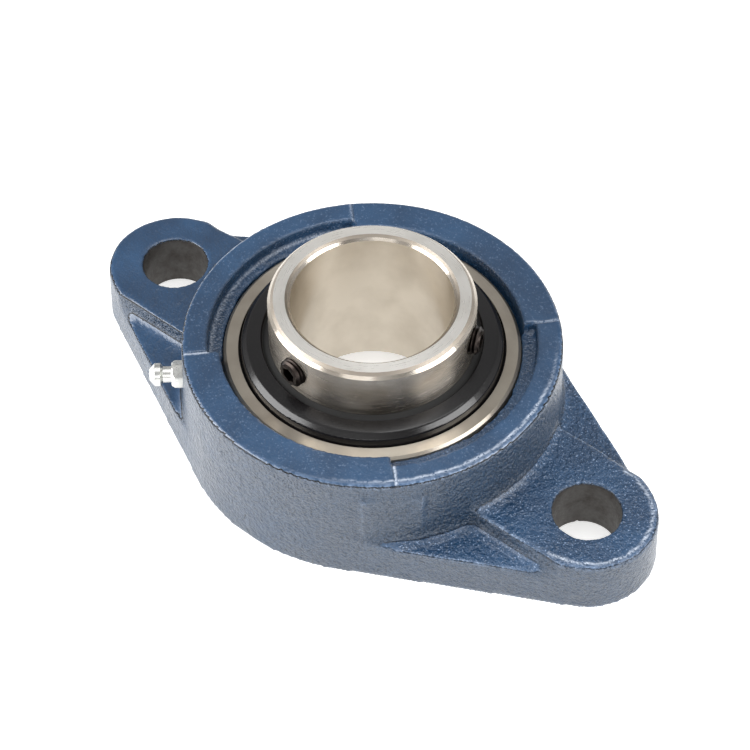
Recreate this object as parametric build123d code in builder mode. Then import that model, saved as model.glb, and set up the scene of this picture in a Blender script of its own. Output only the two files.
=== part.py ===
"""Two-bolt flange mount bearing: an oval cast housing around a self-aligning ball bearing insert.

The back of the housing is the XY plane. +Z is the bearing axis, towards the set screws, and +X is the
long axis of the flange, through both bolt holes. The origin is on the bearing axis. Sizes are in mm.
"""

from build123d import *
import os
from math import acos, atan2, cos, degrees, radians, sin, sqrt, tan

# ---------------------------------------------------------------- driving dimensions
# insert bearing, from the shaft outwards
bore_d = 45.0  # shaft bore
inner_wall = 3.65  # bore surface to the bottom of the inner race
ball_d = 12.7
ball_count = 10
outer_wall = 3.65  # bottom of the outer race to the spherical outside
shoulder_depth = 2.45  # how deep each race is cut below its shoulders
race_ratio = 0.52  # race radius over ball diameter
ring_width = 22.0  # outer ring
insert_rear = 19.0  # bearing centre to the rear end of the inner ring
insert_front = 30.2  # bearing centre to the front end of the inner ring
bore_chamfer = 1.35
end_chamfer = 1.6  # outside edge of the inner ring's front end
ring_chamfer = 0.6

# set screws
screw_d = 8.0
screw_pitch = 1.0
screw_length = 8.0
screw_from_end = 8.0  # screw axis to the front end of the inner ring
screw_tip_gap = 0.4  # screw tip to the bore surface
screw_socket = 4.0  # hexagon key size
screw_socket_depth = 4.0
screw_cup_depth = 0.5
screw_thread_depth = 0.6  # of its pitch
screw_angles = (-98.5, 21.5)

# cage
cage_sheet = 1.0
cage_land_gap = 2.0  # cage band to the shoulders of both rings
cage_eye_wall = 0.6  # sheet left round each rivet hole, however narrow the band is
rivet_d = 1.8
rivet_head_d = 3.0
rivet_head_height = 0.7

# seals
seal_groove_depth = 0.7
seal_groove_width = 1.4
seal_groove_inset = 0.6  # ring face to the groove
seal_step = 0.8  # seal seat over the ring's land radius
shield_rise = 3.85  # ring face to the top of the shield's inner edge
shield_gap = 1.9  # shield's inner edge to the inner ring
shield_sheet = 0.8
shield_shoulder_foot = 1.85  # inner edge down to the foot of the sloping shoulder
shield_shoulder_top = 0.55  # inner edge down to the top of the sloping shoulder
shield_shoulder_width = 1.5
shield_foot_bend_r = 0.9
shield_face_bend_r = 1.2
lip_rise = 0.6  # seal lips over the underside of the shield's inner edge
lip_depth = 2.3  # that underside down to the end of the inner lip

# housing
bolt_spacing = 148.0
bolt_hole_d = 19.0
lobe_r = 20.0
centre_height = 22.0  # back face to the bearing centre
hub_wall = 11.5  # spherical seat to the outside of the hub, at the back face
hub_rise = 14.0  # bearing centre to the hub's front face
pad_height = 17.0  # flange thickness at the bolt holes
pocket_height = 12.0  # flange thickness beside the bolt pads
draft = 2.0  # degrees
root_r = 3.5  # cast fillets at the foot of the hub and the pads
corner_r = 4.0  # plan corner between hub and pad
edge_r = 1.2  # cast outside edges of the pads
hub_edge_r = 1.0
seat_half_width = 8.5
seat_lip = 0.65  # openings in front and behind over the edge of the spherical seat
rear_chamfer = 1.0
relief_step = 3.3  # relief over the front opening
relief_depth = 3.5  # below the hub's front face
relief_half_angle = 45.0
seam_width = 0.7
seam_depth = 0.35
label_pad_width = 17.0
label_pad_top = 30.0
label_pad_angle = -45.8
label_pad_raise = 0.25

# lubrication
groove_offset = 6.4  # bearing centre to the groove round the outer ring
groove_width = 2.6
groove_depth = 0.7
ring_hole_d = 1.9
ring_hole_angles = (160.0, 280.0)
passage_d = 3.2
grease_pocket_width = 5.0
grease_pocket_depth = 1.2
nipple_angle = 220.0
nipple_spotface_d = 9.5
nipple_spotface_depth = 0.6
nipple_thread_d = 6.0
nipple_thread_length = 6.0
nipple_hex = 7.0
nipple_hex_height = 3.4
nipple_hex_bevel = 0.9
nipple_neck_d = 4.6
nipple_head_d = 6.5
nipple_head_band = 1.6
nipple_height = 9.6  # hub spot face to the tip
nipple_mouth_d = 1.8
nipple_bore_d = 2.8
nipple_tip = 1.5  # head's band to the tip
nipple_mouth_length = 2.6  # tip to where the bore starts to close
nipple_stake = 0.6  # staked rim that holds the spring in
check_ball_d = 2.4
spring_wire_d = 0.3
spring_turns = 6

# clearances, each on the radius or on one side
ball_clearance = 0.03
seat_clearance = 0.05
pocket_clearance = 0.15  # cage pocket round a ball
rivet_clearance = 0.03
screw_clearance = 0.1
thread_clearance = 0.05
lip_clearance = 0.06
groove_clearance = 0.05
slot_clearance = 0.4

# ---------------------------------------------------------------- derived sizes
bore_r = bore_d / 2
ball_r = ball_d / 2
inner_race_r = bore_r + inner_wall
pitch_r = inner_race_r + ball_r
outer_race_r = pitch_r + ball_r
sphere_r = outer_race_r + outer_wall
inner_land_r = inner_race_r + shoulder_depth
outer_land_r = outer_race_r - shoulder_depth
race_r = race_ratio * ball_d
half_ring = ring_width / 2
hub_r = sphere_r + hub_wall
hub_top = centre_height + hub_rise
front_end = centre_height + insert_front
half_bolts = bolt_spacing / 2
seat_r = sphere_r + seat_clearance
opening_r = sqrt(seat_r**2 - seat_half_width**2) + seat_lip
relief_r = opening_r + relief_step
relief_floor = hub_top - relief_depth
screw_z = front_end - screw_from_end
sphere_face_r = sqrt(sphere_r**2 - half_ring**2)
seal_seat_r = outer_land_r + seal_step
centre = Plane.XY.offset(centre_height)
centre_section = Plane(origin=(0, 0, centre_height), x_dir=(1, 0, 0), z_dir=(0, -1, 0))


def radial_plane(angle, radius, height):
    """A plane that faces outwards from the bearing axis, with its own X axis pointing up."""
    out = (cos(radians(angle)), sin(radians(angle)), 0)
    return Plane(origin=(radius * out[0], radius * out[1], height), x_dir=(0, 0, 1), z_dir=out)


def write(piece, label):
    """Label a finished piece and write its own STEP file."""
    piece.part.label = label
    export_step(piece.part, f"parts/{label}.step")


os.makedirs("parts", exist_ok=True)

# ---------------------------------------------------------------- housing
# One block with the flange's outline, cut back to the hub, to the bolt pads and to the side pockets.
# Its straight walls touch the round ones where the lean of the tangent line puts them.
tangent_angle = degrees(acos((hub_r - lobe_r) / half_bolts))
shrink = tan(radians(draft))  # how much a wall moves in for each mm of height
wall_skin = 0.02  # keeps two walls that would be one surface just apart
beyond = bolt_spacing  # clears the casting on every side
above = hub_top + 5
hub_side_r = hub_r + wall_skin

with BuildPart() as above_pads:
    with BuildSketch(Plane.XZ):
        with BuildLine():
            Polyline(
                (hub_side_r - shrink * pad_height, pad_height),
                (beyond, pad_height),
                (beyond, above),
                (hub_side_r - shrink * above, above),
                close=True,
            )
        make_face()
        fillet(vertices().group_by(Axis.Y)[0].sort_by(Axis.X)[0], root_r)
    revolve(axis=Axis.Z)

pocket_hub_r = hub_r - wall_skin - shrink * pocket_height
pad_half = lobe_r - shrink * pocket_height
pad_corner = (sqrt(pocket_hub_r**2 - pad_half**2), pad_half)
corner_angle = degrees(atan2(pad_half, pad_corner[0]))

with BuildPart() as side_pocket:
    with BuildSketch(Plane.XY.offset(pocket_height)):
        with BuildLine():
            wall = CenterArc((0, 0), pocket_hub_r, corner_angle, tangent_angle - corner_angle)
            away = (wall @ 1) * 2
            Polyline(wall @ 1, away, (beyond, away.Y), (beyond, pad_half), wall @ 0)
        make_face()
        fillet(vertices().sort_by_distance(pad_corner)[0], corner_r)
    extrude(amount=hub_top - hub_edge_r / 2 - pocket_height, taper=-draft)
    pocket_floor = faces().sort_by(Axis.Z)[0]
    fillet(pocket_floor.edges().sort_by_distance(pad_corner)[0:3], root_r)

with BuildPart() as outside_hub_edge:
    round_r = hub_r - shrink * hub_top - hub_edge_r + 4 * wall_skin
    with BuildSketch(Plane.XZ):
        with BuildLine():
            turn_over = CenterArc((round_r, hub_top - hub_edge_r), hub_edge_r, 0, 90)
            Polyline(
                turn_over @ 1,
                (round_r, above),
                (beyond, above),
                (beyond, (turn_over @ 0).Y),
                turn_over @ 0,
            )
        make_face()
    revolve(axis=Axis.Z)

with BuildPart() as label_pad:
    label_reach = hub_r + label_pad_raise - shrink * label_pad_top
    with BuildSketch(Plane.XY):
        with Locations(Location((0, 0, 0), (0, 0, label_pad_angle))):
            Rectangle(label_reach, label_pad_width, align=(Align.MIN, Align.CENTER))
    extrude(amount=label_pad_top)

with BuildPart() as insert_space:
    with BuildSketch(Plane.XZ):
        with BuildLine():
            seat = CenterArc(
                (0, centre_height),
                seat_r,
                -degrees(atan2(seat_half_width, sqrt(seat_r**2 - seat_half_width**2))),
                2 * degrees(atan2(seat_half_width, sqrt(seat_r**2 - seat_half_width**2))),
            )
            Polyline(
                seat @ 1,
                (opening_r, centre_height + seat_half_width),
                (opening_r, above),
                (0, above),
                (0, -rear_chamfer),
                (opening_r + 2 * rear_chamfer, -rear_chamfer),
                (opening_r, rear_chamfer),
                (opening_r, centre_height - seat_half_width),
                seat @ 0,
            )
        make_face()
    revolve(axis=Axis.Z)

with BuildPart() as relief:
    with BuildSketch(Plane.XY.offset(relief_floor)):
        with BuildLine():
            rim = CenterArc((0, 0), relief_r, -relief_half_angle, 2 * relief_half_angle)
            Polyline(rim @ 1, (0, 0), rim @ 0)
        make_face()
    extrude(amount=relief_depth + 1)

with BuildPart() as housing:
    with BuildSketch():
        with BuildLine():
            hub_arc = CenterArc((0, 0), hub_r, tangent_angle, 180 - 2 * tangent_angle)
            lobe_arc = CenterArc((half_bolts, 0), lobe_r, -tangent_angle, 2 * tangent_angle)
            Line(hub_arc @ 0, lobe_arc @ 1)
            mirror(about=Plane.XZ)
            mirror(about=Plane.YZ)
        make_face()
    extrude(amount=hub_top, taper=draft)
    add(above_pads.part, mode=Mode.SUBTRACT)
    for turn in (0, 180):
        add(side_pocket.part.rotate(Axis.Z, turn), mode=Mode.SUBTRACT)
        add(side_pocket.part.mirror(Plane.XZ).rotate(Axis.Z, turn), mode=Mode.SUBTRACT)

    # rounded outside edges: round the end of each pad, then round the hub's front face
    add(outside_hub_edge.part, mode=Mode.SUBTRACT)
    pad_rims = edges().filter_by_position(Axis.Z, pad_height - 0.01, pad_height + 0.01)
    fillet(pad_rims.filter_by(lambda rim: abs((rim @ 0.5).X) > half_bolts), edge_r)

    add(label_pad.part)
    add(insert_space.part, mode=Mode.SUBTRACT)
    for turn in (0, 180):
        add(relief.part.rotate(Axis.Z, turn), mode=Mode.SUBTRACT)

    # loading slots: the insert goes in turned sideways, as wide as its outer ring
    with BuildSketch(centre):
        Circle(seat_r + 0.1)
        Rectangle(3 * seat_r, ring_width + 2 * slot_clearance, mode=Mode.INTERSECT)
    extrude(amount=hub_rise + 1, mode=Mode.SUBTRACT)

    # joint lines of the casting cores, across the hub's front face at the ends of the reliefs
    with BuildSketch(Plane.XY.offset(hub_top - seam_depth)):
        for turn in (-relief_half_angle, relief_half_angle):
            with Locations(Location((0, 0, 0), (0, 0, turn))):
                Rectangle(2 * hub_r + 2, seam_width)
        Circle(opening_r - 1, mode=Mode.SUBTRACT)
    extrude(amount=seam_depth + 1, mode=Mode.SUBTRACT)

    with Locations(Plane.XY.offset(pad_height)):
        with GridLocations(bolt_spacing, 1, 2, 1):
            Hole(bolt_hole_d / 2)

    # spot face, tapped hole and passage for the grease nipple, and the pocket that it feeds
    nipple_face_r = hub_r - shrink * (centre_height - nipple_spotface_d / 2) - nipple_spotface_depth
    with BuildSketch(radial_plane(nipple_angle, nipple_face_r, centre_height)):
        Circle(nipple_spotface_d / 2)
    extrude(amount=5, mode=Mode.SUBTRACT)
    with BuildSketch(radial_plane(nipple_angle, nipple_face_r, centre_height)):
        Circle(nipple_thread_d / 2 + thread_clearance)
    extrude(amount=-nipple_thread_length - 0.5, mode=Mode.SUBTRACT)
    with BuildSketch(radial_plane(nipple_angle, nipple_face_r, centre_height)):
        Circle(passage_d / 2)
    extrude(amount=-(nipple_face_r - seat_r + 2), mode=Mode.SUBTRACT)
    with BuildSketch(radial_plane(nipple_angle, seat_r - 3, centre_height + groove_offset / 2)):
        Rectangle(groove_offset + passage_d, grease_pocket_width)
    extrude(amount=3 + grease_pocket_depth, mode=Mode.SUBTRACT)

write(housing, "housing")

# ---------------------------------------------------------------- inner and outer ring
inner_race = (inner_race_r - ball_clearance + race_r, 0)
outer_race = (outer_race_r + ball_clearance - race_r, 0)

with BuildPart() as inner_ring:
    with BuildSketch(centre_section):
        with BuildLine():
            Polyline(
                (bore_r + bore_chamfer, insert_front),
                (inner_land_r - end_chamfer, insert_front),
                (inner_land_r, insert_front - end_chamfer),
                (inner_land_r, ring_chamfer - insert_rear),
                (inner_land_r - ring_chamfer, -insert_rear),
                (bore_r + bore_chamfer, -insert_rear),
                (bore_r, bore_chamfer - insert_rear),
                (bore_r, insert_front - bore_chamfer),
                close=True,
            )
        make_face()
        with Locations(inner_race):
            Circle(race_r, mode=Mode.SUBTRACT)
    revolve(axis=Axis.Z)
    for angle in screw_angles:
        with BuildSketch(radial_plane(angle, bore_r / 2, screw_z)):
            Circle(screw_d / 2 + screw_clearance)
        extrude(amount=inner_land_r, mode=Mode.SUBTRACT)

write(inner_ring, "inner_ring")

groove_top = half_ring - seal_groove_inset
groove_low = groove_top - seal_groove_width
groove_floor_r = seal_seat_r + seal_groove_depth

with BuildPart() as outer_ring:
    with BuildSketch(centre_section):
        with BuildLine():
            edge_angle = degrees(atan2(half_ring, sphere_face_r))
            outside = CenterArc((0, 0), sphere_r, -edge_angle, 2 * edge_angle)
            Polyline(
                outside @ 1,
                (seal_seat_r, half_ring),
                (seal_seat_r, groove_top),
                (groove_floor_r, groove_top),
                (groove_floor_r, groove_low),
                (outer_land_r, groove_low),
                (outer_land_r, -groove_low),
                (groove_floor_r, -groove_low),
                (groove_floor_r, -groove_top),
                (seal_seat_r, -groove_top),
                (seal_seat_r, -half_ring),
                outside @ 0,
            )
        make_face()
        chamfer(vertices().group_by(Axis.Y)[-1].sort_by(Axis.X)[-1], ring_chamfer)
        chamfer(vertices().group_by(Axis.Y)[0].sort_by(Axis.X)[-1], ring_chamfer)
        with Locations(outer_race):
            Circle(race_r, mode=Mode.SUBTRACT)
        with Locations((sqrt(sphere_r**2 - groove_offset**2) - groove_depth, groove_offset)):
            Rectangle(outer_wall, groove_width, align=(Align.MIN, Align.CENTER), mode=Mode.SUBTRACT)
    revolve(axis=Axis.Z)
    for angle in ring_hole_angles:
        with BuildSketch(radial_plane(angle, pitch_r, centre_height + groove_offset)):
            Circle(ring_hole_d / 2)
        extrude(amount=sphere_r - pitch_r, mode=Mode.SUBTRACT)

write(outer_ring, "outer_ring")

# ---------------------------------------------------------------- balls and cage
for number in range(ball_count):
    turn = radians(number * 360 / ball_count)
    with BuildPart(Plane(origin=(pitch_r * cos(turn), pitch_r * sin(turn), centre_height))) as ball:
        Sphere(ball_r)
    write(ball, f"ball_{number + 1:02d}")

band_low_r = inner_land_r + cage_land_gap
band_high_r = outer_land_r - cage_land_gap
pocket_r = ball_r + pocket_clearance

with BuildPart(centre) as cage_front_half:
    Cylinder(band_high_r, cage_sheet, align=(Align.CENTER, Align.CENTER, Align.MIN))
    with PolarLocations(pitch_r, ball_count):
        Sphere(pocket_r + cage_sheet)
    with BuildSketch(centre):
        Circle(band_high_r)
        Circle(band_low_r, mode=Mode.SUBTRACT)
    extrude(amount=2 * pocket_r, mode=Mode.INTERSECT)
    with PolarLocations(pitch_r, ball_count):
        Sphere(pocket_r, mode=Mode.SUBTRACT)
    with PolarLocations(pitch_r, ball_count, start_angle=180 / ball_count):
        Cylinder(
            rivet_d / 2 + rivet_clearance + cage_eye_wall,
            cage_sheet,
            align=(Align.CENTER, Align.CENTER, Align.MIN),
        )
        Cylinder(rivet_d / 2 + rivet_clearance, 4 * cage_sheet, mode=Mode.SUBTRACT)

write(cage_front_half, "cage_front_half")

with BuildPart() as cage_rear_half:
    add(cage_front_half.part.mirror(centre))

write(cage_rear_half, "cage_rear_half")

head_r = rivet_head_d / 2
head_top = cage_sheet + rivet_head_height

with BuildPart() as cage_rivet:
    with BuildSketch(Plane.XZ):
        with BuildLine():
            for side in (1, -1):
                Polyline(
                    (rivet_d / 2, 0),
                    (rivet_d / 2, side * cage_sheet),
                    (head_r, side * cage_sheet),
                    (head_r, side * (cage_sheet + 0.2)),
                    (0.75 * head_r, side * (head_top - 0.15)),
                    (0.4 * head_r, side * head_top),
                    (0, side * head_top),
                    (0, 0),
                )
        make_face()
    revolve(axis=Axis.Z)

with BuildPart(centre) as cage_rivets:
    with PolarLocations(pitch_r, ball_count, start_angle=180 / ball_count):
        add(cage_rivet.part)

write(cage_rivets, "cage_rivets")

# ---------------------------------------------------------------- seals
# a pressed steel shield snapped into the outer ring, and the rubber lip bonded under it
shield_top = half_ring + shield_rise
shield_inner_r = inner_land_r + shield_gap
shoulder_foot_r = outer_land_r - 0.2
shoulder_low = (shoulder_foot_r, shield_top - shield_shoulder_foot)
shoulder_high = (shoulder_foot_r - shield_shoulder_width, shield_top - shield_shoulder_top)
under_edge = (shield_inner_r + 0.6, shield_top - shield_sheet)
under_face = (shoulder_high[0] - 0.3, shoulder_high[1] - shield_sheet)
under_shoulder = (shoulder_low[0] - shield_sheet, shoulder_low[1] - 0.3)
foot_r = groove_floor_r - groove_clearance
foot_low = groove_low + groove_clearance

with BuildPart() as front_seal_shield:
    with BuildSketch(centre_section):
        with BuildLine():
            Polyline(
                (foot_r, foot_low),
                (foot_r, foot_low + shield_sheet),
                (seal_seat_r - 0.35, foot_low + shield_sheet + 0.2),
                shoulder_low,
                shoulder_high,
                (shield_inner_r + 0.4, shield_top),
                (shield_inner_r, shield_top - 0.5),
                under_edge,
                under_face,
                under_shoulder,
                (outer_land_r - 0.4, foot_low),
                close=True,
            )
        make_face()
        fillet(vertices().sort_by_distance(shoulder_low)[0], shield_foot_bend_r)
        fillet(vertices().sort_by_distance(shoulder_high)[0], shield_face_bend_r)
    revolve(axis=Axis.Z)

lip_tip_r = inner_land_r + lip_clearance

with BuildPart() as front_seal_lip:
    with BuildSketch(centre_section):
        with BuildLine():
            Polyline(
                under_shoulder,
                under_face,
                under_edge,
                (under_edge[0] - 0.8, under_edge[1] - 0.1),
                (lip_tip_r, under_edge[1] + lip_rise),
                (lip_tip_r, under_edge[1] + 0.2),
                (lip_tip_r + 0.9, under_edge[1] - 0.9),
                (lip_tip_r, under_edge[1] - lip_depth + 0.4),
                (lip_tip_r, under_edge[1] - lip_depth),
                (lip_tip_r + 1.5, under_edge[1] - 1.7),
                (under_shoulder[0] - 0.6, under_shoulder[1] - 0.4),
                close=True,
            )
        make_face()
    revolve(axis=Axis.Z)

for piece, name in ((front_seal_shield, "seal_shield"), (front_seal_lip, "seal_lip")):
    write(piece, f"front_{name}")
    with BuildPart() as rear_piece:
        add(piece.part.mirror(centre))
    write(rear_piece, f"rear_{name}")

# ---------------------------------------------------------------- set screws
with BuildPart() as set_screw:
    crest_r = screw_d / 2
    root_depth = screw_thread_depth * screw_pitch
    turns = int(screw_length / screw_pitch) - 1
    with BuildSketch(Plane.XZ):
        with BuildLine():
            points = [(0, screw_cup_depth), (crest_r - 1.6, 0), (crest_r - root_depth, root_depth)]
            for turn in range(turns):
                start = root_depth + turn * screw_pitch
                points.append((crest_r, start + 0.4 * screw_pitch))
                points.append((crest_r, start + 0.55 * screw_pitch))
                points.append((crest_r - root_depth, start + screw_pitch))
            points += [(crest_r - 0.8, screw_length), (0, screw_length)]
            Polyline(*points, close=True)
        make_face()
    revolve(axis=Axis.Z)
    with BuildSketch(Plane.XY.offset(screw_length)):
        RegularPolygon(screw_socket / 2, 6, major_radius=False)
    extrude(amount=-screw_socket_depth, mode=Mode.SUBTRACT)

for number, angle in enumerate(screw_angles):
    seat_plane = radial_plane(angle, bore_r + screw_tip_gap, screw_z)
    with BuildPart() as placed_screw:
        add(set_screw.part.moved(seat_plane.location))
    write(placed_screw, f"set_screw_{number + 1}")

# ---------------------------------------------------------------- grease nipple
# built upright on its hexagon's underside, then laid along its tapped hole
nipple_place = radial_plane(nipple_angle, nipple_face_r, centre_height).location
nipple_bore_r = nipple_bore_d / 2
check_r = check_ball_d / 2
mouth_r = nipple_mouth_d / 2
ball_seat = nipple_height - nipple_mouth_length
seat_slope = radians(45)
cone_rise = (nipple_bore_r - mouth_r) / tan(seat_slope)
ball_touch = ball_seat + (nipple_bore_r - check_r * cos(seat_slope)) / tan(seat_slope)
check_height = ball_touch - check_r * sin(seat_slope) - ball_clearance

with BuildPart() as nipple_upright:
    thread_r = nipple_thread_d / 2
    neck_r = nipple_neck_d / 2
    head_r = nipple_head_d / 2
    band_top = nipple_height - nipple_tip
    with BuildSketch(Plane.XY):
        RegularPolygon(nipple_hex / 2, 6, major_radius=False)
    extrude(amount=nipple_hex_height)
    hex_turned_r = nipple_hex / 2 * 1.12  # just inside the hexagon's corners
    with BuildSketch(Plane.XZ):
        with BuildLine():
            Polyline(
                (0, 0),
                (hex_turned_r, 0),
                (hex_turned_r, nipple_hex_height - nipple_hex_bevel),
                (nipple_hex / 2 - 0.2, nipple_hex_height),
                (0, nipple_hex_height),
                close=True,
            )
        make_face()
    revolve(axis=Axis.Z, mode=Mode.INTERSECT)
    with BuildSketch(Plane.XZ):
        with BuildLine():
            Polyline(
                (0, -nipple_thread_length),
                (thread_r - 0.5, -nipple_thread_length),
                (thread_r, -nipple_thread_length + 0.5),
                (thread_r, 0.3),
                (neck_r, 0.3),
                (neck_r, band_top - nipple_head_band - 0.7),
                (head_r, band_top - nipple_head_band),
                (head_r, band_top),
                (mouth_r + 0.7, nipple_height),
                (0, nipple_height),
                close=True,
            )
        make_face()
    revolve(axis=Axis.Z)
    with BuildSketch(Plane.XZ):
        with BuildLine():
            Polyline(
                (0, -nipple_thread_length - 1),
                (mouth_r, -nipple_thread_length - 1),
                (mouth_r, nipple_stake - nipple_thread_length),
                (nipple_bore_r, nipple_stake - nipple_thread_length),
                (nipple_bore_r, ball_seat),
                (mouth_r, ball_seat + cone_rise),
                (mouth_r, nipple_height + 1),
                (0, nipple_height + 1),
                close=True,
            )
        make_face()
    revolve(axis=Axis.Z, mode=Mode.SUBTRACT)

with BuildPart() as nipple_body:
    add(nipple_upright.part.moved(nipple_place))

write(nipple_body, "nipple_body")

with BuildPart() as check_ball:
    with Locations((0, 0, check_height)):
        Sphere(check_r)

with BuildPart() as nipple_check_ball:
    add(check_ball.part.moved(nipple_place))

write(nipple_check_ball, "nipple_check_ball")

with BuildPart() as spring_upright:
    spring_r = nipple_bore_r - spring_wire_d / 2 - 0.1
    spring_low = nipple_stake - nipple_thread_length + spring_wire_d / 2 + 0.05
    spring_high = check_height - sqrt((check_r + spring_wire_d / 2) ** 2 - spring_r**2) - 0.05
    spring_length = spring_high - spring_low
    with BuildLine(Plane.XY.offset(spring_low)):
        coil = Helix(spring_length / spring_turns, spring_length, spring_r)
    with BuildSketch(Plane(origin=coil @ 0, z_dir=coil % 0)):
        Circle(spring_wire_d / 2)
    sweep(is_frenet=True)

with BuildPart() as nipple_spring:
    add(spring_upright.part.moved(nipple_place))

write(nipple_spring, "nipple_spring")
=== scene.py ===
"""Looks of a two-bolt flange mount bearing: a sand-cast, painted housing round a bearing insert.

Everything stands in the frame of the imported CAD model: the back of the housing lies on the table,
+Z is the bearing axis, towards the set screws, and +X is the long axis of the flange, through both
bolt holes. Sizes in the dataclasses are in millimetres, and MM turns them to metres where a mesh or
a node takes them.
"""

import logging
from dataclasses import dataclass
from enum import Enum
from math import cos, radians, sin, tan

import bmesh
import bpy
import numpy as np
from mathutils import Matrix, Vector, noise


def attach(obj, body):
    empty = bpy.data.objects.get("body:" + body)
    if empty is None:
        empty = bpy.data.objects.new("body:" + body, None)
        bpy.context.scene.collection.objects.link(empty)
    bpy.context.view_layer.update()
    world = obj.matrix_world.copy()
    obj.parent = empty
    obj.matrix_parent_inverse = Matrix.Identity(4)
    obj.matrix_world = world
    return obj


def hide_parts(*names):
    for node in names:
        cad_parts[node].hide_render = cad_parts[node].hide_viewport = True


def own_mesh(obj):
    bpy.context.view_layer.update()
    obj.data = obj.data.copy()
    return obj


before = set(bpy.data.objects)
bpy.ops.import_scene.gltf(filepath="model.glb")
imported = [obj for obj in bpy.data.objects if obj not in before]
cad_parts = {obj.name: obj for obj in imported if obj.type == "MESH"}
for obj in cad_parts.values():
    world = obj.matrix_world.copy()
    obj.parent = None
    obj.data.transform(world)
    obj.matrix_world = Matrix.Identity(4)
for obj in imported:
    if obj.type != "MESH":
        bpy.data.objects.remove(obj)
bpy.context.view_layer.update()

MM = 0.001
log = logging.getLogger("bearing")


class Region(Enum):
    """Where a point of the casting lies, which sets how rough and how specked its skin is."""

    FRONT_FACE = "front face"
    WALL = "wall"
    PAD = "pad"
    RELIEF = "relief"


class Lay(Enum):
    """The direction in which a machined surface's fine lines run."""

    ROUND_THE_AXIS = "round the bearing axis"
    NONE = "no direction"


# -------------------------------------------------------------------------------- nodes
def linear(colour: str) -> tuple[float, float, float, float]:
    """Turns an sRGB hex colour to the linear RGBA that shaders take.

    Args:
        colour: six hex digits after a #.

    Returns:
        Linear red, green, blue and an alpha of 1.
    """
    parts = [int(colour[i : i + 2], 16) / 255 for i in (1, 3, 5)]
    red, green, blue = (c / 12.92 if c <= 0.04045 else ((c + 0.055) / 1.055) ** 2.4 for c in parts)
    return (red, green, blue, 1.0)


def add_node(
    tree: bpy.types.NodeTree, kind: str, inputs: dict | None = None, **settings
) -> bpy.types.Node:
    """Adds one shader node, with its settings and what goes into its sockets.

    Args:
        tree: the material's node tree.
        kind: the node's type, without the word ShaderNode.
        inputs: socket name or number to a value, or to the output socket to link.
        settings: properties of the node.

    Returns:
        The new node.
    """
    node = tree.nodes.new("ShaderNode" + kind)
    for name, value in settings.items():
        setattr(node, name, value)
    for name, value in (inputs or {}).items():
        if isinstance(value, bpy.types.NodeSocket):
            tree.links.new(value, node.inputs[name])
        else:
            node.inputs[name].default_value = value
    return node


def texture(
    tree: bpy.types.NodeTree, place: bpy.types.NodeSocket, width: float, detail: float
) -> bpy.types.NodeSocket:
    """Adds a noise texture.

    Args:
        tree: the material's node tree.
        place: where each point lies.
        width: the width of the texture's grains, in millimetres.
        detail: how many finer layers it holds.

    Returns:
        The texture's value, from 0 to 1.
    """
    inputs = {"Vector": place, "Scale": 1 / (width * MM), "Detail": detail}
    return add_node(tree, "TexNoise", inputs).outputs["Fac"]


def stretch(
    tree: bpy.types.NodeTree,
    value: bpy.types.NodeSocket,
    low: float,
    high: float,
    to_low: float = 0.0,
    to_high: float = 1.0,
) -> bpy.types.NodeSocket:
    """Maps the range from low to high of a value to the range from to_low to to_high."""
    inputs = {
        "Value": value,
        "From Min": low,
        "From Max": high,
        "To Min": to_low,
        "To Max": to_high,
    }
    return add_node(tree, "MapRange", inputs).outputs[0]


def product(
    tree: bpy.types.NodeTree,
    first: bpy.types.NodeSocket,
    second: bpy.types.NodeSocket | float,
) -> bpy.types.NodeSocket:
    """Multiplies two values."""
    return add_node(tree, "Math", {0: first, 1: second}, operation="MULTIPLY").outputs[0]


def blend(
    tree: bpy.types.NodeTree,
    share: bpy.types.NodeSocket,
    under: bpy.types.NodeSocket | str,
    over: str,
) -> bpy.types.NodeSocket:
    """Lays one colour over another.

    Args:
        tree: the material's node tree.
        share: how much of the upper colour shows, from 0 to 1.
        under: the lower colour, a socket or six hex digits after a #.
        over: the upper colour, six hex digits after a #.

    Returns:
        The colour that shows.
    """
    lower = linear(under) if isinstance(under, str) else under
    inputs = {0: share, 6: lower, 7: linear(over)}
    return add_node(tree, "Mix", inputs, data_type="RGBA").outputs[2]


def new_material(name: str) -> tuple[bpy.types.Material, bpy.types.NodeTree, bpy.types.Node]:
    """Makes a material that holds one Principled shader.

    Args:
        name: the material's name.

    Returns:
        The material, its node tree and its Principled node.
    """
    material = bpy.data.materials.new(name)
    material.use_nodes = True
    tree = material.node_tree
    tree.nodes.clear()
    shader = add_node(tree, "BsdfPrincipled")
    add_node(tree, "OutputMaterial", {"Surface": shader.outputs[0]})
    return material, tree, shader


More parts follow.
